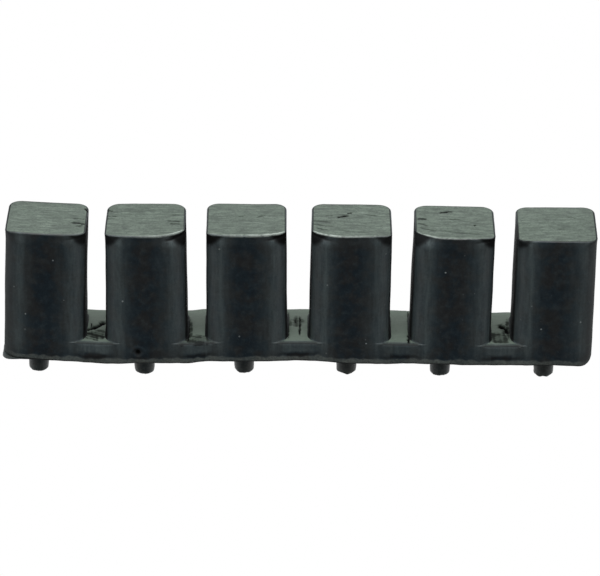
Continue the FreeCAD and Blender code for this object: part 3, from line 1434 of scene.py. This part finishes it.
@dataclass(frozen=True)
class Strip:
    """The thin strip: a pad under each block and a web between each two, with one running profile."""

    bench: Bench
    marks: tuple[Any, ...]
    edge_highlights: EdgeHighlights = EdgeHighlights()
    edge_radius: float = 0.34 * MM
    rear_radius: float = 0.07 * MM
    flush_radius: float = 0.004 * MM
    corner_radius: float = 1.76 * MM
    bevel: float = 0.30 * MM
    bevel_stray: float = 0.10 * MM
    right_toe: float = 0.95 * MM
    # end, turn and under set painted shade; torn sets the pale torn rubber.
    end_shade: float = 0.45
    torn_shade: float = 0.56
    low_band_shade: float = 0.35
    turn_shade: float = 0.50
    under_shade: float = 0.65
    ledge_dust_and_top_light: float = 0.20
    top_highlight: float = 0.75
    torn_heights: tuple[float, float] = (0.58 * MM, 0.74 * MM)
    low_band_height: float = 0.92 * MM
    low_band_width: float = 0.16 * MM
    sweep_depths: tuple[float, float] = (1.35 * MM, 0.95 * MM)
    pad_depth: float = 1.7 * MM
    wave: tuple[tuple[float, float], ...] = (
        (-31.0, 0.22), (-28.0, 0.20), (-25.0, 0.12), (-22.0, -0.02), (-18.0, 0.0),
        (-11.0, 0.08), (-5.0, 0.12), (-2.0, 0.22), (0.0, 0.26), (2.5, 0.20),
        (5.0, -0.04), (8.0, -0.06), (11.0, 0.08), (31.0, 0.0),
    )
    web_glow: tuple[tuple[float, float], ...] = (
        (-24.0, 0.8), (-21.0, 0.95), (-17.0, 0.7), (-9.0, 0.68), (6.0, 0.68), (11.0, 0.5), (17.0, 0.72),
    )
    grid: LoopGrid = LoopGrid(5, 84, 24)
    pad_stations: int = 84
    web_stations: int = 40

    def _edge(self, x: np.ndarray) -> np.ndarray:
        """The radius of the strip's upper edges: rounded at a web, and square under a block's faces.

        Args:
            x: Places along the strip.

        Returns:
            The radius at each of them.
        """
        radius = np.full(len(x), self.edge_radius)
        for segment in self.bench.comb.segments:
            left, right = segment.pad[0].x, segment.pad[1].x
            inside = (x >= left) & (x <= right)
            inset = corner_inset(np.minimum(x - left, right - x), self.corner_radius)
            flush = np.clip(0.9 * inset, self.flush_radius, self.edge_radius)
            radius[inside] = flush[inside]
        outer = self.bench.comb.from_end(x) < self.corner_radius * 1.5
        radius[outer] = self.flush_radius
        return radius

    def _plan(self, x: np.ndarray) -> np.ndarray:
        """Half of the strip's depth, drawn in at its two rounded ends."""
        return self.bench.comb.half_depth - corner_inset(self.bench.comb.from_end(x), self.corner_radius)

    def underside(self, x: np.ndarray) -> np.ndarray:
        """The height of the underside, with a rounded toe at the right end.

        Args:
            x: Places along the strip.

        Returns:
            The height at each of them.
        """
        rise = corner_inset(self.bench.comb.ends[1] - x, self.right_toe)
        places, lifts = np.array(self.wave).T * MM
        return self.bench.comb.strip_low + rise * 0.85 + np.interp(x, places, lifts)

    def _solid(self, stations: np.ndarray) -> tuple[np.ndarray, np.ndarray]:
        """The strip's solid between the first and last of some places along it.

        Args:
            stations: The places, in order.

        Returns:
            The points and the quads.
        """
        high = self.bench.comb.strip_high
        bevels = self.bevel + Ragged(7, self.bevel_stray, 1.1 * MM, 9.0 * MM).at(stations)
        solid = LoopSolid(self.grid)
        rows = zip(stations, self._edge(stations), self._plan(stations), self.underside(stations), bevels)
        for x, edge, half_depth, low, bevel in rows:
            half_high = (high - low) / 2
            radii = (bevel, bevel, min(edge, self.rear_radius), edge)
            flat = self.grid.rounded(half_depth, half_high, radii)
            loop = (np.full(len(flat), x), flat[:, 0], flat[:, 1] + low + half_high)
            solid.loops.append(np.column_stack(loop))
        return solid.build()

    def _masks(self, points: np.ndarray) -> Masks:
        """Where the strip carries dust and painted top light, where its edges carry painted highlights,
        where painted shade falls and where its moulded lower edge shows.

        Args:
            points: The strip's points.

        Returns:
            The masks of its finish.
        """
        comb = self.bench.comb
        high, half = comb.strip_high, comb.half_depth
        x, y, z = points.T
        low = self.underside(x)
        beside = np.abs(x[:, None] - np.array(comb.web_middles)).min(axis=1)
        ledge = 1 - smooth_step(1.6 * MM, 2.5 * MM, beside)
        glow = 1 - smooth_step(1.0 * MM, 2.8 * MM, beside)
        top = smooth_step(high - 0.16 * MM, high - 0.02 * MM, z)
        inward = smooth_step(-half + 0.15 * MM, -half + 0.75 * MM, y)
        inward = inward * smooth_step(half, half - 0.10 * MM, y)

        stray = Ragged(19, 0.14 * MM, 0.6 * MM, 6.0 * MM).at(x)
        fade = np.clip(0.92 + 0.22 * Ragged(23, 1.0, 2.0 * MM, 16.0 * MM).at(x), 0.5, 1.3)
        torn_from, torn_to = (low + height + stray for height in self.torn_heights)
        torn = self.torn_shade * (1 - smooth_step(torn_from, torn_to, z))

        # A painted highlight along the webs' rounded upper front edges, carried on under the blocks' edges
        # and over the strip's top.
        drift = Ragged(31, 0.16 * MM, 1.5 * MM, 8.0 * MM).at(x)
        sweep_from, sweep_to = (high - depth + drift for depth in self.sweep_depths)
        sweep = smooth_step(sweep_from, sweep_to, z) * glow
        places, shares = np.array(self.web_glow).T
        sweep = sweep * np.interp(x, places * MM, shares)
        painted_highlight = np.maximum(sweep, self._under_blocks(x, z)) * (1 - top * inward)
        painted_highlight = painted_highlight + self.top_highlight * top * inward

        # A darker band low on the webs' fronts.
        low_dark_band = hump(z - low - self.low_band_height - stray, self.low_band_width) * self.low_band_shade
        low_dark_band = low_dark_band * glow * (y < -half + 0.2 * MM)
        # Painted shade along the top front turn beside the webs, along the underside edges and at the
        # strip's two ends.
        turn = hump(z - high + 0.10 * MM, 0.10 * MM) * (y < -half + 0.36 * MM) * ledge
        under = (1 - smooth_step(low + 0.14 * MM, low + 0.24 * MM, z)) * (np.abs(y) > half - 0.32 * MM)
        end = self.end_shade * (1 - smooth_step(0.0, self.corner_radius, comb.from_end(x)))
        shades = (self.turn_shade * turn, self.under_shade * under, low_dark_band, end)
        # Dust with a painted lit-top sheen on the strip's top: full inward, and only a little at its edges
        # beside the webs.
        dust_and_top_light = top * (self.ledge_dust_and_top_light * ledge + (1 - self.ledge_dust_and_top_light * ledge) * inward)
        return {"dust_and_top_light": dust_and_top_light, "torn": torn * fade, "painted_highlight": painted_highlight, "mark_and_shade": np.maximum.reduce(shades)}

    def _under_blocks(self, x: np.ndarray, z: np.ndarray) -> np.ndarray:
        """The painted highlights of the blocks' upright edges where they run down into the pads.

        Args:
            x: Each point's place along the strip.
            z: Each point's height.

        Returns:
            How pale each point is.
        """
        above = np.zeros(len(x))
        for segment in self.bench.comb.segments:
            left, right = segment.pad[0].x, segment.pad[1].x
            offset, half_pad = x - (left + right) / 2, (right - left) / 2
            above = np.maximum(above, self.edge_highlights.at(offset, half_pad) * (np.abs(offset) <= half_pad))
        high = self.bench.comb.strip_high
        return above * (0.55 + 0.45 * smooth_step(high - self.pad_depth, high, z))

    @staticmethod
    def _stations(first: float, last: float, count: int, rounded: bool) -> np.ndarray:
        """Places along a part of the strip, closer together where it ends in a rounded end.

        Args:
            first: Where the part starts.
            last: Where it ends.
            count: How many places there are before any more are put in.
            rounded: Whether it is at one end of the comb.

        Returns:
            The places, in order.
        """
        share = np.linspace(0, 1, count)
        if rounded:
            close = np.linspace(0, 0.04, 10)[1:-1]
            share = (share + (1 - np.cos(share * math.pi)) / 2) / 2
            share = np.sort(np.concatenate((share, close, 1 - close)))
        return first + share * (last - first)

    def make_pad(self, segment: Segment) -> bpy.types.Object:
        """Build the pad of strip under one block, riding on its segment.

        Args:
            segment: The segment that the pad belongs to.

        Returns:
            The piece.
        """
        rounded = segment.number in (1, len(self.bench.comb.segments))
        stations = self._stations(segment.pad[0].x, segment.pad[1].x, self.pad_stations, rounded)
        points, faces = self._solid(stations)
        name = f"strip_pad_{segment.number}"
        made = self.bench.piece(name, points, faces, self._masks(points), self.marks)
        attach(made, segment.body)
        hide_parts(f"base_pad_{segment.number}")
        return made

    def make_web(self, number: int) -> bpy.types.Object:
        """Build one web between the two segments that it joins, laid in the strip's resting bend.

        Args:
            number: The web's number, counted from the left.

        Returns:
            The piece.
        """
        low, high = self.bench.comb.webs[number - 1]
        points, faces = self._solid(self._stations(low.x, high.x, self.web_stations, False))
        made = self.bench.piece(f"flex_web_{number}", points, faces, self._masks(points), self.marks)
        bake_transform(made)
        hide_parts(f"web_hinge_{number}")
        return made


# ---------------------------------------------------------------- studs


@dataclass(frozen=True)
class Studs:
    """The short studs underneath, slightly barrelled, with ends torn off where they were fed."""

    bench: Bench
    barrel: float = 0.07
    tear: float = 0.42 * MM
    tear_scale: float = 1200.0
    edge_round: float = 0.16 * MM
    extra: float = 0.24 * MM
    rooted: float = 0.08 * MM
    around: int = 72
    upward: int = 36
    inward: int = 14
    torn_share: float = 0.22
    tip_torn: float = 0.14
    tip_height: float = 1.1 * MM

    def tree(self) -> bpy.types.GeometryNodeTree:
        """The tree that turns a plain round bar into a torn stud.

        Returns:
            The tree.
        """
        sizes = ("Radius", "Length", "Barrel", "Tear", "Tear Scale", "Edge Round", "Seed")
        form = NodeForm("torn_stud", sizes, ("Foot",))
        graph = form.graph
        bar = graph.node(
            "GeometryNodeMeshCylinder",
            {"fill_type": "TRIANGLE_FAN"},
            {
                "Vertices": self.around,
                "Side Segments": self.upward,
                "Fill Segments": self.inward,
                "Radius": form.asked("Radius"),
                "Depth": form.asked("Length"),
            },
            "Mesh",
        )
        place = form.place()
        up = graph.math("DIVIDE", form.place_up(), form.asked("Length")) + 0.5
        bulge = 1 + form.asked("Barrel") * (4 * up * (1 - up)) * (1 - up * 0.5)
        round_end = graph.math("DIVIDE", up * form.asked("Length"), form.asked("Edge Round"))
        drawn = 1 - round_end.step(0.0, 1.0)
        bulge = bulge - drawn * graph.math("DIVIDE", form.asked("Edge Round"), form.asked("Radius")) * 0.8
        widths = graph.node("ShaderNodeCombineXYZ", {}, {"X": bulge, "Y": bulge, "Z": 1.0}, "Vector")
        shaped = graph.vector("MULTIPLY", place, widths)
        inputs = {"Geometry": bar, "Position": shaped}
        body = graph.node("GeometryNodeSetPosition", {}, inputs, "Geometry")
        seeded = graph.vector("ADD", form.place(), form.asked("Foot"))
        noise = graph.node(
            "ShaderNodeTexNoise",
            {"noise_dimensions": "4D"},
            {"Vector": seeded, "W": form.asked("Seed"), "Scale": form.asked("Tear Scale"), "Detail": 3.0},
            0,
        )
        low_share = 1 - graph.math("DIVIDE", form.place_up(), form.asked("Length")).step(-0.5, -0.1)
        rip = (noise - 0.5) * form.asked("Tear") * low_share
        inputs = {"X": rip * 0.4, "Y": rip * 0.4, "Z": rip}
        ripped = graph.node("ShaderNodeCombineXYZ", {}, inputs, "Vector")
        body = form.move(body, ripped)
        half = graph.node("ShaderNodeCombineXYZ", {}, {"Z": form.asked("Length") * 0.5}, "Vector")
        stood = form.move(body, graph.vector("ADD", form.asked("Foot"), half))
        return form.close(stood)

    def make(self, segment: Segment, tree: bpy.types.GeometryNodeTree) -> bpy.types.Object:
        """Build one stud.

        Args:
            segment: The segment that it is under.
            tree: The tree that shapes it.

        Returns:
            The piece, riding on its segment.
        """
        low, high = segment.stud
        foot = ((low.x + high.x) / 2, (low.y + high.y) / 2, low.z - self.extra)
        made = add_object(f"torn_stud_{segment.number}", bpy.data.meshes.new("stud"))
        values = {
            "Radius": (high.x - low.x) / 2,
            "Length": high.z - low.z + self.extra + self.rooted,
            "Barrel": self.barrel,
            "Tear": self.tear,
            "Tear Scale": self.tear_scale,
            "Edge Round": self.edge_round,
            "Seed": 3.7 * segment.number,
            "Foot": foot,
            "Finish": self.bench.finish,
        }
        apply_form(made, tree, values)
        points = np.zeros(len(made.data.vertices) * 3)
        made.data.vertices.foreach_get("co", points)
        points = points.reshape(-1, 3)
        made.data.vertices.foreach_set("co", self.bench.bend.lay(points).ravel())
        tip = 1 - smooth_step(0.0, self.tip_height, points[:, 2])
        self.bench.mask(made, {"torn": self.torn_share + self.tip_torn * tip})
        self.bench.dress(made)
        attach(made, segment.body)
        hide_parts(f"stud_{segment.number}")
        return made


# ---------------------------------------------------------------- flash


@dataclass(frozen=True)
class FlashFin:
    """The thin ragged fin of rubber that the mould's joint left along part of the strip's lower edge."""

    bench: Bench
    width: float = 1.10 * MM
    thickness: float = 0.09 * MM
    raggedness: float = 0.12 * MM
    ragged_scale: float = 1400.0
    turn_radius: float = 0.30 * MM
    run_length: float = 3.9 * MM
    torn_share: float = 0.2

    def tree(self) -> bpy.types.GeometryNodeTree:
        """The tree that sweeps a thin blade along a path and frays it.

        Returns:
            The tree.
        """
        form = NodeForm("flash_fin", ("Width", "Thickness", "Raggedness", "Ragged Scale"))
        graph = form.graph
        path = graph.node("GeometryNodeMeshToCurve", {}, {"Mesh": form.asked("Geometry")}, "Curve")
        path = graph.node("GeometryNodeSetCurveNormal", {"mode": "Z_UP"}, {"Curve": path}, "Curve")
        blade = graph.node(
            "GeometryNodeCurvePrimitiveQuadrilateral",
            {},
            {"Width": form.asked("Width"), "Height": form.asked("Thickness")},
            "Curve",
        )
        blade = graph.node("GeometryNodeResampleCurve", {}, {"Curve": blade, "Count": 20}, "Curve")
        inputs = {"Curve": path, "Profile Curve": blade, "Fill Caps": True}
        swept = graph.node("GeometryNodeCurveToMesh", {}, inputs, "Mesh")
        fray = form.wander(form.place(), form.asked("Raggedness"), form.asked("Ragged Scale"))
        fray = graph.vector("MULTIPLY", fray, (1.0, 1.0, 0.35))
        return form.close(form.move(swept, fray))

    def make(self, name: str, path: np.ndarray, segment: Segment) -> bpy.types.Object:
        """Build one fin.

        Args:
            name: The fin's name.
            path: The points of its middle line.
            segment: The segment that it is on.

        Returns:
            The piece, riding on its segment.
        """
        mesh = bpy.data.meshes.new(name)
        laid = self.bench.bend.lay(path)
        mesh.from_pydata(laid.tolist(), [(n, n + 1) for n in range(len(path) - 1)], [])
        made = add_object(name, mesh)
        values = {
            "Width": self.width,
            "Thickness": self.thickness,
            "Raggedness": self.raggedness,
            "Ragged Scale": self.ragged_scale,
            "Finish": self.bench.finish,
        }
        apply_form(made, self.tree(), values)
        self.bench.mask(made, {"torn": np.full(len(made.data.vertices), self.torn_share)})
        self.bench.dress(made)
        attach(made, segment.body)
        return made

    def left_path(self, strip: Strip) -> np.ndarray:
        """The fin's line round the strip's lower left end and a little way along its front.

        Args:
            strip: The strip that it hangs from.

        Returns:
            The points of its middle line.
        """
        comb = self.bench.comb
        end, half, radius = comb.ends[0], comb.half_depth, self.turn_radius
        inset = self.width / 2 - 0.10 * MM
        x, y = end + inset, -half + inset
        side = np.column_stack((np.full(24, x), np.linspace(1.9 * MM, y + radius, 24)))
        angle = np.linspace(math.pi, 1.5 * math.pi, 7)[1:-1]
        centre = np.array((x + radius, y + radius))
        turn = centre + radius * np.column_stack((np.cos(angle), np.sin(angle)))
        run = np.column_stack((np.linspace(x + radius, end + self.run_length, 20), np.full(20, y)))
        plan = np.vstack((side, turn, run))
        share = np.linspace(0, 1, len(plan))
        plan[:, 0] += 0.45 * MM * np.clip(1 - share / 0.3, 0, 1) ** 2
        plan[:, 1] += 0.30 * MM * np.clip((share - 0.6) / 0.4, 0, 1)
        return np.column_stack((plan, strip.underside(plan[:, 0]) + 0.05 * MM))


# ---------------------------------------------------------------- studio


@dataclass(frozen=True)
class Studio:
    """A plain pale floor, soft light from above and behind, and the camera."""

    target: tuple[float, float, float] = (0.13 * MM, 0.0, 9.446 * MM)
    elevation_deg: float = 28.55
    distance: float = 361.7 * MM
    roll_deg: float = 0.30
    lens: float = 210.0
    floor_size: float = 6.0
    floor_level: float = -70.0 * MM
    dimmest: float = 0.06
    back_glow: float = 1.05
    side_glow: float = 0.45
    top_glow: float = 0.35
    key_place: tuple[float, float, float] = (0.0, -0.12, 0.55)
    key_size: float = 0.34
    key_power: float = 2.3

    def build(self) -> None:
        """Set up the floor, the world, the lights and the camera."""
        bpy.context.scene.view_settings.view_transform = "Standard"
        self._floor()
        self._world()
        self._key_light()
        self._camera()

    def _floor(self) -> None:
        """A large pale floor, low enough for every bend of the comb and clear from below."""
        mesh = bpy.data.meshes.new("floor")
        half, level = self.floor_size / 2, self.floor_level
        corners = [(-half, -half, level), (half, -half, level), (half, half, level), (-half, half, level)]
        mesh.from_pydata(corners, [], [(0, 1, 2, 3)])
        floor = add_object("floor", mesh)
        material = bpy.data.materials.new("pale_floor")
        material.use_nodes = True
        graph = Graph(material.node_tree)
        glow = graph.node("ShaderNodeEmission", {}, {"Color": (1, 1, 1, 1), "Strength": 1.0}, "Emission")
        clear = graph.node("ShaderNodeBsdfTransparent", {}, {}, "BSDF")
        under = graph.node("ShaderNodeNewGeometry", {}, {}, "Backfacing")
        inputs = {"Fac": under, "Shader": glow, "Shader_001": clear}
        surface = graph.node("ShaderNodeMixShader", {}, inputs, "Shader")
        graph.end("ShaderNodeOutputMaterial", {"Surface": surface})
        mesh.materials.append(material)
        floor.visible_diffuse = False
        floor.visible_glossy = False

    def _world(self) -> None:
        """A room that is pale behind and above, half lit at the sides and dark in front below."""
        world = bpy.data.worlds.new("room")
        bpy.context.scene.world = world
        world.use_nodes = True
        graph = Graph(world.node_tree)
        way = graph.node("ShaderNodeTexCoord", {}, {}, "Generated")
        y = graph.node("ShaderNodeSeparateXYZ", {}, {"Vector": way}, "Y")
        x, z = y.also("X"), y.also("Z")
        back = y.step(-0.25, 0.75)
        above = z.step(-0.05, 0.75)
        aside = (x * x).step(0.10, 0.80)
        strength = self.dimmest + back * self.back_glow
        strength = strength + aside * self.side_glow * (1 - back) + above * self.top_glow * (1 - back)
        inputs = {"Color": (1.0, 1.0, 1.0, 1.0), "Strength": strength}
        sky = graph.node("ShaderNodeBackground", {}, inputs, "Background")
        graph.end("ShaderNodeOutputWorld", {"Surface": sky})

    def _key_light(self) -> None:
        """One soft square light from above, aimed at the object."""
        data = bpy.data.lights.new("key", "AREA")
        data.shape = "SQUARE"
        data.size = self.key_size
        data.energy = self.key_power
        light = add_object("key", data)
        light.location = self.key_place
        aim = Vector(self.target) - Vector(self.key_place)
        light.rotation_euler = aim.to_track_quat("-Z", "Y").to_euler()

    def _camera(self) -> None:
        """The camera, a long way off with a long lens and a slight roll."""
        data = bpy.data.cameras.new("camera")
        data.lens = self.lens
        data.clip_start = 0.01
        data.clip_end = 20.0
        camera = add_object("camera", data)
        up = math.radians(self.elevation_deg)
        back = Vector((0.0, -math.cos(up), math.sin(up)))
        turn = Euler((math.pi / 2 - up, 0.0, 0.0)).to_matrix().to_4x4()
        roll = Matrix.Rotation(math.radians(self.roll_deg), 4, "Z")
        camera.matrix_world = Matrix.Translation(Vector(self.target) + back * self.distance) @ turn @ roll
        bpy.context.scene.camera = camera


# ---------------------------------------------------------------- the whole comb


# How far each web is bent open as the comb stands, and how far each segment sits off, along X and Z.
REST_OPENING_DEG = (-2.2, 0.0, 0.6, 0.4, -0.7)
REST_SHIFT = (
    (-0.05 * MM, -0.14 * MM),
    (0.05 * MM, -0.18 * MM),
    (-0.12 * MM, 0.0),
    (0.0, 0.02 * MM),
    (-0.08 * MM, 0.02 * MM),
    (0.0, 0.10 * MM),
)
STILL_SEGMENT = 3
LIPS = (
    Lip((0.50, 0.60), (0.10, 0.40), (0.15, 0.75), (0.0, 0.45), (0.30, 0.50)),
    Lip((0.45, 0.60), (0.15, 1.00), (0.70, 0.90), (0.0, 1.0), (0.40, 1.60), crown=0.14),
    Lip((0.45, 0.55), (0.40, 1.00), (0.85, 0.90), (0.0, 0.8), (0.50, 0.80)),
    Lip((0.55, 0.55), (1.00, 0.35), (0.80, 0.65), (0.7, 0.0), (1.20, 0.30), dip=0.05),
    Lip((0.55, 0.55), (0.90, 0.30), (0.70, 0.80), (0.0, 0.5), (1.60, 0.40), dip=0.10),
    Lip((0.55, 0.80), (0.25, 0.12), (0.55, 0.15), (0.0, 0.0), (0.35, 0.25), dip=0.32),
)
# Nicks in the tops: block, start, end, bow, width and depth in millimetres, and how dark.
TOP_NICKS = (
    (1, (-22.6, 2.4), (-22.1, 1.4), 0.10, 0.11, 0.10, 0.8),
    (1, (-23.7, -0.8), (-22.3, -1.1), 0.08, 0.12, 0.10, 0.7),
    (1, (-23.2, -1.5), (-22.5, -1.4), 0.0, 0.08, 0.07, 0.6),
    (1, (-23.6, 0.1), (-22.4, 0.0), 0.05, 0.06, 0.05, 0.5),
    (2, (-19.9, 2.2), (-19.2, 1.9), 0.05, 0.10, 0.09, 0.7),
    (2, (-20.0, 0.9), (-18.7, 0.8), 0.02, 0.05, 0.05, 0.6),
    (2, (-19.9, 0.3), (-18.9, 0.25), 0.0, 0.05, 0.05, 0.5),
    (2, (-13.3, 1.1), (-12.2, 1.2), 0.02, 0.05, 0.05, 0.5),
    (2, (-13.5, -0.1), (-12.2, -0.3), 0.05, 0.07, 0.07, 0.6),
    (2, (-13.2, -0.7), (-12.2, -0.8), 0.0, 0.07, 0.07, 0.6),
    (3, (-4.2, 0.4), (-3.3, 0.9), 0.10, 0.06, 0.05, 0.45),
    (3, (-6.1, 0.7), (-5.3, 0.75), 0.0, 0.05, 0.04, 0.5),
    (4, (3.8, 0.6), (5.0, 0.95), 0.10, 0.12, 0.10, 0.9),
    (4, (4.8, 1.5), (5.3, 1.6), 0.0, 0.10, 0.09, 0.8),
    (4, (2.6, 0.9), (3.3, 0.95), 0.0, 0.05, 0.05, 0.5),
    (4, (6.7, 1.2), (8.0, 1.1), 0.0, 0.04, 0.05, 0.5),
    (4, (1.3, -0.2), (3.2, -0.5), 0.08, 0.09, 0.06, 0.35),
    (4, (1.3, -0.9), (3.4, -1.3), -0.06, 0.08, 0.06, 0.35),
    (4, (1.6, -1.6), (2.7, -2.1), -0.08, 0.07, 0.06, 0.4),
    (4, (3.9, -2.0), (6.9, -2.6), -0.10, 0.06, 0.05, 0.25),
    (5, (14.3, 1.9), (15.6, 2.2), 0.12, 0.12, 0.11, 0.9),
    (5, (15.2, 0.6), (16.4, 0.4), 0.05, 0.05, 0.05, 0.5),
    (5, (17.7, -0.5), (17.9, -0.7), 0.0, 0.11, 0.10, 0.8),
    (5, (11.9, 0.65), (12.9, 0.55), 0.03, 0.10, 0.09, 0.75),
    (5, (11.9, -0.3), (13.0, -0.9), 0.08, 0.08, 0.06, 0.4),
    (5, (12.2, -1.2), (13.8, -1.9), -0.05, 0.07, 0.06, 0.35),
    (5, (14.4, -1.8), (18.4, -2.5), -0.14, 0.08, 0.05, 0.22),
    (6, (27.4, 1.4), (28.3, 1.1), 0.05, 0.06, 0.05, 0.45),
    (6, (26.2, -1.0), (27.2, -1.1), 0.0, 0.05, 0.04, 0.3),
)


# The long cuts along Y at the webs' edges beside the blocks are darkened as painted shade in the crease
# there.
# Cuts in the webs: start, end, bow, width and depth in millimetres, and how dark.
WEB_CUTS = (
    ((-22.0, -0.85), (-20.25, 1.05), -0.20, 0.21, 0.24, 1.0),
    ((-21.57, 0.60), (-21.55, -0.2), 0.0, 0.05, 0.06, 0.8),
    ((-11.50, 1.8), (-11.48, -3.3), 0.06, 0.13, 0.12, 0.85),
    ((-0.98, 2.8), (-0.95, -2.6), 0.03, 0.08, 0.08, 0.7),
    ((0.17, 1.9), (0.16, -1.9), 0.02, 0.075, 0.10, 0.9),
    ((-0.24, 1.5), (-0.26, 0.7), 0.0, 0.11, 0.08, 0.7),
    ((11.46, 3.5), (11.47, -1.6), 0.02, 0.07, 0.10, 0.6),
    ((11.45, -1.6), (11.40, -3.4), 0.02, 0.11, 0.12, 0.95),
    ((20.85, 0.85), (21.75, -0.9), 0.16, 0.27, 0.24, 1.0),
)
# Scuffs on the webs: middle and half size in millimetres, how dark, and the seed.
WEB_SCUFFS = (
    ((-21.0, -1.8), (1.40, 1.10), 0.74, 141),
    ((-10.5, -3.0), (1.70, 1.05), 0.62, 71),
    ((-11.3, -1.0), (0.30, 2.0), 0.55, 73),
    ((-0.05, 0.9), (0.65, 1.00), 0.48, 83),
    ((-0.75, 0.6), (0.25, 0.6), 0.50, 87),
    ((20.8, -1.9), (1.20, 1.40), 0.62, 157),
    ((21.85, 0.2), (0.35, 2.2), 0.60, 97),
)
# The pit in the front of the strip: place along X and Z, radius and depth in millimetres.
FRONT_PIT = (-16.6, 3.95, 0.34, 0.20)


def strip_marks(comb: Comb) -> tuple[Any, ...]:
    """The nicks and marks that the strip carries.

    Args:
        comb: The comb's sizes.

    Returns:
        The marks, in the order that they are pressed in.
    """
    above = comb.strip_high - 0.3 * MM
    x, z, radius, depth = scaled(FRONT_PIT)
    return (
        Hollow((x, -comb.half_depth, z), radius, depth, (0.0, 1.0, 0.0)),
        *(Gouge.from_mm(row, above) for row in WEB_CUTS),
        *(Scuff.from_mm(row, above) for row in WEB_SCUFFS),
    )


def main() -> None:
    """Build the comb's pieces in order and set up the studio."""
    logging.basicConfig(level=logging.INFO, format="%(message)s")
    comb = Comb.read()
    half_web = (comb.webs[0][1].x - comb.webs[0][0].x) / 2
    level = (comb.strip_low + comb.strip_high) / 2
    bend = RestingBend(comb.web_middles, half_web, level, REST_OPENING_DEG, STILL_SEGMENT, REST_SHIFT)
    skin = MouldSkin()
    bench = Bench(comb, bend, skin, skin.tree(), RubberFinish("moulded_black_rubber").make())
    blocks = Blocks(bench, LIPS)
    strip = Strip(bench, strip_marks(comb))
    studs = Studs(bench)
    stud_tree = studs.tree()
    made: list[bpy.types.Object] = []
    for segment in comb.segments:
        made += [blocks.make(segment), strip.make_pad(segment), studs.make(segment, stud_tree)]
    made += [strip.make_web(number) for number in range(1, len(comb.webs) + 1)]
    fin = FlashFin(bench)
    made.append(fin.make("flash_fin_left", fin.left_path(strip), comb.segments[0]))
    for piece in made:
        LOG.info("%s: %d faces", piece.name, len(piece.data.polygons))
    Studio().build()


if __name__ == "__main__":
    main()
